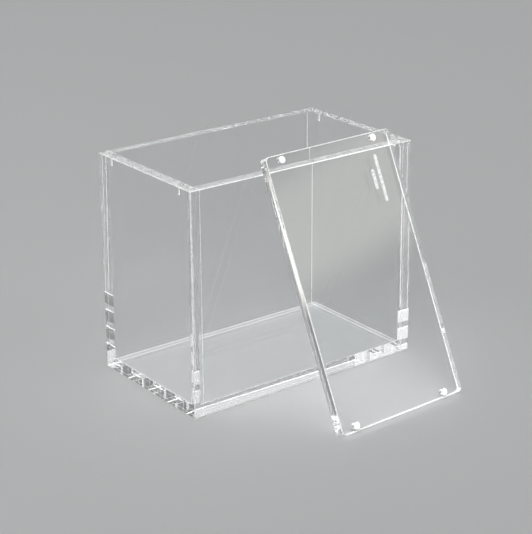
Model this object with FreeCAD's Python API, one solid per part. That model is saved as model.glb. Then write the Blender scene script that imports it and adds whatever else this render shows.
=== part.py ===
import FreeCAD, Part
import os

# Clear acrylic deck box: five panels welded into an open-topped box, and a separate
# magnetic lid that stands on its short edge and leans on the rim of the front wall.
# Millimetres. Origin at the centre of the box's underside, X along the long side,
# Y from the front wall to the back wall, Z up.

LENGTH = 154.0          # box outside, along X
DEPTH = 90.0            # box outside, along Y
HEIGHT = 131.0          # box outside, without the lid
SHEET = 6.0             # every panel is cut from the same sheet
BREAK = 0.4             # polished edge break on the outside edges

MAGNET_INSET = 3.0      # hole axis to the outside of a short wall, mid-sheet
MAGNET_SPACING = 66.0   # between the two holes of one short wall
HOLE_PLAY = 0.05        # radial play of a magnet in its hole
MAGNET_BREAK = 0.2      # rounded rims of the plated magnets
RECESS = 0.2            # magnet face below the panel face
BOX_MAGNET = (1.5, 4.0, 0.6)    # radius, height, adhesive under it
LID_MAGNET = (2.0, 3.0, 0.3)

LID_CORNER_R = 3.0
MARK_DEPTH = 0.15       # two plain frosted bars engraved in the lid's outer face
MARK_WIDTH = 2.2
MARK_BARS = ((27.0, 15.6, 128.0), (11.5, 20.2, 128.0))   # length, from right edge, mid height

LID_LEAN = 25.0         # degrees from upright, towards the box
LID_TURN = 2.0          # degrees about Z, so its right edge meets the rim first
LID_FOOT_X = -29.3      # left end of the lid's lower outer edge
RIM_PLAY = 0.15         # between the lid and the rim

X = FreeCAD.Vector(1, 0, 0)
Y = FreeCAD.Vector(0, 1, 0)
Z = FreeCAD.Vector(0, 0, 1)


def block(low, high):
    size = [b - a for a, b in zip(low, high)]
    return Part.makeBox(*size, FreeCAD.Vector(*low))


def near(a, b):
    return abs(a - b) < 1e-4


def broken(shape, keep):
    """The shape with an edge break along each edge whose mid point passes keep."""
    return shape.makeChamfer(BREAK, [e for e in shape.Edges if keep(e.CenterOfMass)])


def short_wall(side):
    """Left (-1) or right (1) wall: full depth, closing over the ends of the long walls."""
    outer, inner = side * LENGTH / 2, side * (LENGTH / 2 - SHEET)
    wall = block((min(outer, inner), -DEPTH / 2, 0), (max(outer, inner), DEPTH / 2, HEIGHT))
    return broken(wall, lambda mid: not near(mid.x, inner))


def long_wall(side):
    """Front (-1) or back (1) wall, fitted between the short walls."""
    outer, inner = side * DEPTH / 2, side * (DEPTH / 2 - SHEET)
    span = LENGTH / 2 - SHEET
    wall = block((-span, min(outer, inner), 0), (span, max(outer, inner), HEIGHT))
    return broken(wall, lambda mid: near(mid.y, outer) and near(mid.x, 0))


def magnet_seat(mouth, out, size):
    """A blind hole with its adhesive bead and plated magnet; out points from the mouth."""
    radius, height, glue = size
    floor = mouth - out * (RECESS + height + glue)
    hole = Part.makeCylinder(radius + HOLE_PLAY, RECESS + height + glue + 1, floor, out)
    bead = Part.makeCylinder(radius, glue, floor, out)
    disc = Part.makeCylinder(radius, height, floor + out * glue, out)
    rims = [e for e in disc.Edges if e.isClosed()]
    return hole, bead, disc.makeChamfer(MAGNET_BREAK, rims)


def box_parts():
    """The welded box: four walls, the base between them and the rim magnets."""
    parts = {"left_wall": short_wall(-1), "right_wall": short_wall(1),
             "front_wall": long_wall(-1), "back_wall": long_wall(1)}
    half_x, half_y = LENGTH / 2 - SHEET, DEPTH / 2 - SHEET
    parts["base_panel"] = block((-half_x, -half_y, 0), (half_x, half_y, SHEET))
    for side, x in (("left", MAGNET_INSET - LENGTH / 2), ("right", LENGTH / 2 - MAGNET_INSET)):
        for end, y in (("front", -MAGNET_SPACING / 2), ("back", MAGNET_SPACING / 2)):
            mouth = FreeCAD.Vector(x, y, HEIGHT)
            hole, bead, disc = magnet_seat(mouth, Z, BOX_MAGNET)
            parts[side + "_wall"] = parts[side + "_wall"].cut(hole)
            parts["rim_glue_%s_%s" % (end, side)] = bead
            parts["rim_magnet_%s_%s" % (end, side)] = disc
    return parts


def mark(length, from_right, middle):
    """One engraved bar with round ends, along the lid's long side."""
    run = length - MARK_WIDTH
    low = FreeCAD.Vector(DEPTH - from_right, 0, middle - run / 2)
    bar = Part.makeBox(MARK_WIDTH, MARK_DEPTH, run, low - X * (MARK_WIDTH / 2))
    for end in (low, low + Z * run):
        bar = bar.fuse(Part.makeCylinder(MARK_WIDTH / 2, MARK_DEPTH, end, Y))
    return bar.removeSplitter()


def lid_parts():
    """The lid upright: X across, Y from its outer to its inner face, Z along it."""
    lid = block((0, 0, 0), (DEPTH, SHEET, LENGTH))
    corners = [e for e in lid.Edges if near(e.CenterOfMass.y, SHEET / 2)]
    lid = lid.makeFillet(LID_CORNER_R, corners)
    lid = broken(lid, lambda mid: near(mid.y, 0) or near(mid.y, SHEET))
    for bar in MARK_BARS:
        lid = lid.cut(mark(*bar))
    parts = {}
    for row, z in (("lower", MAGNET_INSET), ("upper", LENGTH - MAGNET_INSET)):
        for col, x in (("left", (DEPTH - MAGNET_SPACING) / 2),
                       ("right", (DEPTH + MAGNET_SPACING) / 2)):
            mouth = FreeCAD.Vector(x, SHEET, z)
            hole, bead, disc = magnet_seat(mouth, Y, LID_MAGNET)
            lid = lid.cut(hole)
            parts["lid_glue_%s_%s" % (row, col)] = bead
            parts["lid_magnet_%s_%s" % (row, col)] = disc
    parts["lid_panel"] = lid
    return parts


def leaning(lid):
    """Placement that stands the upright lid on the table against the front wall's rim."""
    pose = FreeCAD.Rotation(Z, LID_TURN) * FreeCAD.Rotation(X, -LID_LEAN)
    tilted = lid.copy()
    tilted.Placement = FreeCAD.Placement(FreeCAD.Vector(), pose)
    lift = -tilted.BoundBox.ZMin
    # Slide the lid so the right edge of its inner face stops just short of the rim.
    foot = pose * FreeCAD.Vector(DEPTH - BREAK, SHEET, 0)
    along = pose * Z
    touch = foot + along * ((HEIGHT - BREAK - lift - foot.z) / along.z)
    return FreeCAD.Placement(FreeCAD.Vector(LID_FOOT_X, -DEPTH / 2 - RIM_PLAY - touch.y, lift), pose)


nodes = box_parts()
lid = lid_parts()
placement = leaning(lid["lid_panel"])
for name, shape in lid.items():
    shape.Placement = placement
    nodes[name] = shape

os.makedirs("parts", exist_ok=True)
for name, shape in sorted(nodes.items()):
    shape.exportStep("parts/" + name + ".step")
    print(name, "valid" if shape.isValid() else "INVALID", round(shape.Volume, 3))
hinge = placement.Base
print("lid lower outer edge from", tuple(round(v, 3) for v in hinge), "along",
      tuple(round(v, 5) for v in placement.Rotation * X))
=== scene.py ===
import math
import bpy
from mathutils import Matrix, Vector


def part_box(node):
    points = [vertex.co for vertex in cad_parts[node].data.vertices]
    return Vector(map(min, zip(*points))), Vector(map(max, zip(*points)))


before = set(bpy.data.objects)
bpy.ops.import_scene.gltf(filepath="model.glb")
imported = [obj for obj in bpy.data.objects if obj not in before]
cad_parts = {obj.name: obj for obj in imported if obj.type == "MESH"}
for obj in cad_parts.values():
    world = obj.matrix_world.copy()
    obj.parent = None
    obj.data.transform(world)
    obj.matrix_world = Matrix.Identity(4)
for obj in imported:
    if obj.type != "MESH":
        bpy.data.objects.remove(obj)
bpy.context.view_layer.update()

# ---------- sizes, metres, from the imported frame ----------
low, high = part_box("left_wall")
HALF_X, HALF_Y, TOP = -low[0], high[1], high[2]
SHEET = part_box("base_panel")[1][2]
INNER_X, INNER_Y = HALF_X - SHEET, HALF_Y - SHEET
LID_LEAN, LID_TURN = math.radians(25.0), math.radians(2.0)
LID_BASE = Vector((-0.0293, -0.114653, 0.0023666))      # its lower left outer corner
LID_ROT = Matrix.Rotation(LID_TURN, 3, "Z") @ Matrix.Rotation(-LID_LEAN, 3, "X")
LID_W, LID_H = 0.090, 0.154
WELD = 0.00022          # half width of the cement line that shows at a joint
GLINT_WIDTH = 0.00020        # width of the painted highlight line along the inner edges of the rim
ON_PLANE = 2e-5         # a point this near a plane is on it
FLAT = 0.93             # a normal closer than this to a panel's axis is a flat face
ACROSS = 0.9            # the same, for telling which way a cemented face looks
MARK_FLOOR = (4e-5, 2.2e-4)     # depths below the lid's outer face that a mark can have
MARK_LOW = 0.08         # the marks are in the upper half of the lid
MARK_RIM = 0.004        # and keep this far from its edges

# ---------- looks and light ----------
ACRYLIC_IOR, ACRYLIC_TINT = 1.49, (0.962, 0.970, 0.970, 1)
FLOOR_HALF, FLOOR_TONE = 5.0, (0.30, 0.30, 0.302, 1)
GAP = 0.0001            # film of air under the box, so its underside still mirrors
SKY_LOW, SKY_HIGH = 0.30, 0.20
CARDS = (               # azimuth, elevation, half width, half height, soft edge, power
    (-163.0, 53.0, 28.0, 10.0, 4.0, 11.0),
    (-95.0, 36.0, 20.0, 9.0, 4.0, 3.0),
    (-37.0, 22.0, 16.0, 7.0, 3.0, 0.8),
    (38.0, 23.0, 24.0, 6.0, 2.5, 0.5))
WARM_CARD = (135.1, 19.4, 8.0, 2.0, 1.0, 1.4)   # mirrored in the upper half of the lid
COOL_TINT, WARM_TINT = (0.985, 0.995, 1.0), (1.0, 0.965, 0.87)
CAMERA_PLACE = (-0.52268, -0.69662, 0.39097)
CAMERA_LENS, CAMERA_SENSOR = 107.955, 36.0
YAW, PITCH, ROLL = (math.radians(a) for a in (37.221, 20.944, 0.268))


# ---------- node helpers ----------
class Tree:
    """Short ways to add and join shader nodes."""

    def __init__(self, owner, output="ShaderNodeOutputMaterial"):
        owner.use_nodes = True
        self.owner = owner
        self.nt = owner.node_tree
        self.nt.nodes.clear()
        self.out = self.nt.nodes.new(output)

    def put(self, socket, value):
        if isinstance(value, bpy.types.NodeSocket):
            self.nt.links.new(value, socket)
        else:
            socket.default_value = value

    def node(self, kind, props=None, **inputs):
        n = self.nt.nodes.new("ShaderNode" + kind)
        for k, v in (props or {}).items():
            setattr(n, k, v)
        for k, v in inputs.items():
            self.put(n.inputs[k.replace("_", " ")], v)
        return n

    def math(self, op, a, b=0.0, c=None):
        n = self.nt.nodes.new("ShaderNodeMath")
        n.operation = op
        self.put(n.inputs[0], a)
        self.put(n.inputs[1], b)
        if c is not None:
            self.put(n.inputs[2], c)
        return n.outputs[0]

    def vec(self, op, a, b):
        n = self.nt.nodes.new("ShaderNodeVectorMath")
        n.operation = op
        self.put(n.inputs[0], a)
        self.put(n.inputs[1], b)
        return n.outputs["Value"] if op == "DOT_PRODUCT" else n.outputs[0]

    def ramp(self, fac, low, high, to_low=0.0, to_high=1.0):
        n = self.nt.nodes.new("ShaderNodeMapRange")
        n.interpolation_type = "SMOOTHSTEP"
        for i, v in enumerate((fac, low, high, to_low, to_high)):
            self.put(n.inputs[i], v)
        return n.outputs[0]

    def noise(self, co, scale, detail=3.0, stretch=None):
        if stretch:
            co = self.vec("MULTIPLY", co, stretch)
        return self.node("TexNoise", Vector=co, Scale=scale, Detail=detail).outputs["Fac"]

    def near(self, v, at, within):
        return self.math("COMPARE", v, at, within)

    def both(self, a, b):
        return self.math("MULTIPLY", a, b)

    def either(self, a, b):
        return self.math("MAXIMUM", a, b)

    def mix(self, fac, a, b):
        n = self.nt.nodes.new("ShaderNodeMixShader")
        self.put(n.inputs[0], fac)
        self.put(n.inputs[1], a)
        self.put(n.inputs[2], b)
        return n.outputs[0]

    def blend(self, fac, a, b):
        n = self.node("Mix", {"data_type": "RGBA"})
        self.put(n.inputs[0], fac)
        self.put(n.inputs[6], a)
        self.put(n.inputs[7], b)
        return n.outputs[2]

    def done(self, shader):
        self.put(self.out.inputs["Surface"], shader)
        return self.owner


def new_material(name):
    return Tree(bpy.data.materials.new(name))


def grey(v):
    return (v, v, v, 1)


def clear_sheet(name, place, turn=None, seams_and_glint=None, marks=None):
    """Clear acrylic sheet: glass-clear faces, whitened edge breaks, hole walls and marks.

    place and turn give the panel's own origin and axes, so the edge breaks can be told
    from the flat faces by their normals.
    """
    t = new_material(name)
    tc = t.node("TexCoord")
    co, normal = tc.outputs["Object"], tc.outputs["Normal"]
    turn = turn or Matrix.Identity(3)
    co = t.vec("SUBTRACT", co, tuple(place))
    axes = [Vector(turn.col[i]) for i in range(3)]
    local = [t.vec("DOT_PRODUCT", co, tuple(a)) for a in axes]
    facing = [t.math("ABSOLUTE", t.vec("DOT_PRODUCT", normal, tuple(a))) for a in axes]
    flat = t.either(t.either(facing[0], facing[1]), facing[2])
    frost = t.math("LESS_THAN", flat, FLAT)
    x, y, z = local
    if marks:
        frost = t.either(frost, marks(t, x, y, z))
    if seams_and_glint:
        joined, cement_and_glint = seams_and_glint(t, x, y, z, facing)
        # cement lines, and the painted highlight line on the inner rim edges, take the whitish
        # finish
        frost = t.either(frost, cement_and_glint)

    # faint handling haze and hairline scratches, stronger on the worked edges
    haze = t.ramp(t.noise(co, 22.0, 5.0), 0.50, 0.78, 0.0, 0.012)
    hair = t.ramp(t.noise(co, 55.0, 2.0, (1.0, 1.0, 34.0)), 0.70, 0.76, 0.0, 0.006)
    rough = t.math("ADD", haze, hair)
    wave = t.noise(co, 45.0, 2.0)
    bump = t.node("Bump", Height=wave, Strength=0.05, Distance=0.00012)
    clear = t.node("BsdfPrincipled", Base_Color=ACRYLIC_TINT, Roughness=rough,
                   IOR=ACRYLIC_IOR, Normal=bump.outputs[0])
    clear.inputs["Transmission Weight"].default_value = 1.0

    # scraped and flame-polished breaks scatter light: whitish, with fine tool lines
    lines = t.noise(co, 900.0, 3.0)
    white = t.node("BsdfPrincipled", Base_Color=t.blend(lines, grey(0.80), grey(0.97)),
                   Roughness=0.30, IOR=ACRYLIC_IOR)
    white.inputs["Transmission Weight"].default_value = 0.25
    surface = t.mix(t.both(frost, t.ramp(lines, 0.25, 0.6, 0.55, 0.95)),
                    clear.outputs[0], white.outputs[0])

    # light goes through on its way to the table, less of it along the worked edges
    lp = t.node("LightPath")
    worked = t.math("SUBTRACT", 1.0, t.math("MULTIPLY", frost, 0.45))
    shade = t.blend(worked, grey(0.0), grey(0.93))
    pane = t.node("BsdfTransparent", Color=shade)
    surface = t.mix(lp.outputs["Is Shadow Ray"], surface, pane.outputs[0])

    if seams_and_glint:
        # cemented faces are one solid: nothing shows but a few tiny bubbles
        bubble = t.node("TexVoronoi", Vector=co, Scale=700.0).outputs["Distance"]
        bubble = t.both(t.math("LESS_THAN", bubble, 0.16),
                        t.ramp(t.noise(co, 60.0, 2.0), 0.5, 0.62))
        through = t.mix(t.both(bubble, 0.5), t.node("BsdfTransparent").outputs[0],
                        t.node("BsdfDiffuse", Color=grey(0.9)).outputs[0])
        surface = t.mix(joined, surface, through)
    return t.done(surface)


def box_seams_and_glint(t, x, y, z, facing):
    """Faces cemented together, the fine cement lines where those joints surface, and a painted
    highlight line along the inner edges of the rim.
    """
    ax, ay = t.math("ABSOLUTE", x), t.math("ABSOLUTE", y)
    in_corner = t.math("GREATER_THAN", ay, INNER_Y)
    in_base = t.math("LESS_THAN", z, SHEET)
    side = t.both(t.near(ax, INNER_X, ON_PLANE), t.either(in_corner, in_base))
    side = t.both(side, t.math("GREATER_THAN", facing[0], ACROSS))
    between = t.math("LESS_THAN", ax, INNER_X + ON_PLANE / 2)
    along = t.both(t.near(ay, INNER_Y, ON_PLANE), t.both(in_base, between))
    along = t.both(along, t.math("GREATER_THAN", facing[1], ACROSS))
    joined = t.either(side, along)
    # cement lines: on the front and back planes, across the rim, on the underside
    outside = t.either(t.near(ay, HALF_Y, ON_PLANE), t.both(t.near(z, TOP, ON_PLANE), in_corner))
    line = t.both(outside, t.near(ax, INNER_X, WELD))
    under = t.near(z, 0.0, ON_PLANE)
    line = t.either(line, t.both(under, t.near(ax, INNER_X, WELD)))
    line = t.either(line, t.both(under, t.both(t.near(ay, INNER_Y, WELD),
                                               t.math("LESS_THAN", ax, INNER_X))))
    # painted highlight: a fine pale line along the inner edges of the rim, where the sharp edge
    # glints
    rim = t.near(z, TOP, ON_PLANE)
    glint_strip = t.either(t.both(t.near(ay, INNER_Y, GLINT_WIDTH), t.math("LESS_THAN", ax, INNER_X)),
                     t.both(t.near(ax, INNER_X, GLINT_WIDTH), t.math("LESS_THAN", ay, INNER_Y)))
    line = t.either(line, t.both(rim, glint_strip))
    # cement squeezed out along the edges of the base
    bead = t.either(t.math("GREATER_THAN", ay, INNER_Y - 2 * WELD),
                    t.math("GREATER_THAN", ax, INNER_X - 2 * WELD))
    line = t.either(line, t.both(t.near(z, SHEET, ON_PLANE), bead))
    return joined, line


def lid_marks(t, x, y, z):
    """The etched floors of the two plain bars: just below the lid's outer face."""
    deep = t.both(t.math("GREATER_THAN", y, MARK_FLOOR[0]),
                  t.math("LESS_THAN", y, MARK_FLOOR[1]))
    inside = t.both(t.math("GREATER_THAN", x, MARK_RIM), t.math("LESS_THAN", x, LID_W - MARK_RIM))
    inside = t.both(inside, t.math("GREATER_THAN", z, MARK_LOW))
    inside = t.both(inside, t.math("LESS_THAN", z, LID_H - MARK_RIM))
    return t.both(deep, inside)


def nickel():
    t = new_material("nickel")
    co = t.node("TexCoord").outputs["Object"]
    grain = t.noise(co, 2600.0, 3.0)
    wear = t.ramp(t.noise(co, 420.0, 4.0), 0.45, 0.7)
    plate = t.blend(wear, (0.86, 0.85, 0.83, 1), (0.70, 0.69, 0.67, 1))
    b = t.node("BsdfPrincipled", Base_Color=plate,
               Roughness=t.ramp(grain, 0.2, 0.8, 0.22, 0.42), Metallic=1.0,
               Normal=t.node("Bump", Height=grain, Strength=0.15, Distance=0.00005).outputs[0])
    return t.done(b.outputs[0])


def glue():
    t = new_material("adhesive")
    co = t.node("TexCoord").outputs["Object"]
    cloud = t.noise(co, 900.0, 3.0)
    milky = t.blend(cloud, (0.99, 0.99, 0.98, 1), (0.94, 0.94, 0.92, 1))
    b = t.node("BsdfPrincipled", Base_Color=milky,
               Roughness=t.ramp(cloud, 0.3, 0.7, 0.20, 0.40), IOR=1.47)
    b.inputs["Transmission Weight"].default_value = 0.1
    return t.done(b.outputs[0])


box_clear = clear_sheet("acrylic_box", (0, 0, 0), seams_and_glint=box_seams_and_glint)
lid_clear = clear_sheet("acrylic_lid", LID_BASE, LID_ROT, marks=lid_marks)
metal, bond = nickel(), glue()
for name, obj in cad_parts.items():
    look = box_clear
    if "magnet" in name:
        look = metal
    elif "glue" in name:
        look = bond
    elif name == "lid_panel":
        look = lid_clear
    obj.data.materials.clear()
    obj.data.materials.append(look)


# ---------- stage ----------
def area_light(name, place, aim, size, power):
    data = bpy.data.lights.new(name, "AREA")
    data.shape = "RECTANGLE"
    data.size, data.size_y = size
    data.energy = power
    obj = bpy.data.objects.new(name, data)
    obj.location = place
    obj.rotation_euler = (Vector(aim) - Vector(place)).to_track_quat("-Z", "Y").to_euler()
    bpy.context.scene.collection.objects.link(obj)


floor_mesh = bpy.data.meshes.new("floor")
corners = [(x * FLOOR_HALF, y * FLOOR_HALF, -GAP) for x, y in ((-1, -1), (1, -1), (1, 1), (-1, 1))]
floor_mesh.from_pydata(corners, [], [(0, 1, 2, 3)])
floor = bpy.data.objects.new("floor", floor_mesh)
bpy.context.scene.collection.objects.link(floor)
t = new_material("floor_paper")
b = t.node("BsdfPrincipled", Base_Color=FLOOR_TONE, Roughness=0.55)
floor.data.materials.append(t.done(b.outputs[0]))

area_light("key", (-0.8, 0.5, 1.1), (0, 0, 0.07), (0.7, 0.7), 5)

world = bpy.data.worlds.new("studio")
bpy.context.scene.world = world
w = Tree(world, "ShaderNodeOutputWorld")
way = w.node("TexCoord").outputs["Generated"]


def soft_box(azimuth, elevation, half_az, half_el, edge, power):
    """A soft-edged light card on the sky; azimuth from +Y towards +X, degrees."""
    a, e = math.radians(azimuth), math.radians(elevation)
    ahead = Vector((math.sin(a) * math.cos(e), math.cos(a) * math.cos(e), math.sin(e)))
    across = Vector((math.cos(a), -math.sin(a), 0))
    above = across.cross(ahead)
    if above.z < 0:
        above = -above
    depth = w.math("MAXIMUM", w.vec("DOT_PRODUCT", way, tuple(ahead)), 0.001)
    u = w.math("ABSOLUTE", w.math("DIVIDE", w.vec("DOT_PRODUCT", way, tuple(across)), depth))
    v = w.math("ABSOLUTE", w.math("DIVIDE", w.vec("DOT_PRODUCT", way, tuple(above)), depth))
    tu, tv, te = (math.tan(math.radians(k)) for k in (half_az, half_el, edge))
    card = w.both(w.ramp(u, tu - te, tu + te, 1.0, 0.0), w.ramp(v, tv - te, tv + te, 1.0, 0.0))
    card = w.both(card, w.math("GREATER_THAN", w.vec("DOT_PRODUCT", way, tuple(ahead)), 0.01))
    return w.both(card, power)


height = w.vec("DOT_PRODUCT", way, (0, 0, 1))
sky = w.ramp(height, 0.1, 0.8, SKY_LOW, SKY_HIGH)
for card in CARDS:
    sky = w.math("ADD", sky, soft_box(*card))
cool = w.node("VectorMath", {"operation": "SCALE"}, Vector=COOL_TINT, Scale=sky)
warm = w.node("VectorMath", {"operation": "SCALE"}, Vector=WARM_TINT,
              Scale=soft_box(*WARM_CARD))
bg = w.node("Background", Color=w.vec("ADD", cool.outputs[0], warm.outputs[0]))
w.done(bg.outputs[0])

# ---------- camera ----------
data = bpy.data.cameras.new("camera")
data.lens = CAMERA_LENS
data.sensor_width = CAMERA_SENSOR
data.clip_end = 50
cam = bpy.data.objects.new("camera", data)
bpy.context.scene.collection.objects.link(cam)
ahead = Vector((math.sin(YAW) * math.cos(PITCH), math.cos(YAW) * math.cos(PITCH), -math.sin(PITCH)))
right = Vector((math.cos(YAW), -math.sin(YAW), 0))
up = right.cross(ahead)
r2 = right * math.cos(ROLL) - up * math.sin(ROLL)
u2 = right * math.sin(ROLL) + up * math.cos(ROLL)
cam.matrix_world = Matrix((
    (r2.x, u2.x, -ahead.x, CAMERA_PLACE[0]),
    (r2.y, u2.y, -ahead.y, CAMERA_PLACE[1]),
    (r2.z, u2.z, -ahead.z, CAMERA_PLACE[2]),
    (0, 0, 0, 1)))
bpy.context.scene.camera = cam
bpy.context.scene.view_settings.view_transform = "Standard"

# light bounces many times inside polished sheet before it leaves
cycles = bpy.context.scene.cycles
cycles.max_bounces = 32
cycles.glossy_bounces = 24
cycles.transmission_bounces = 32
cycles.transparent_max_bounces = 24
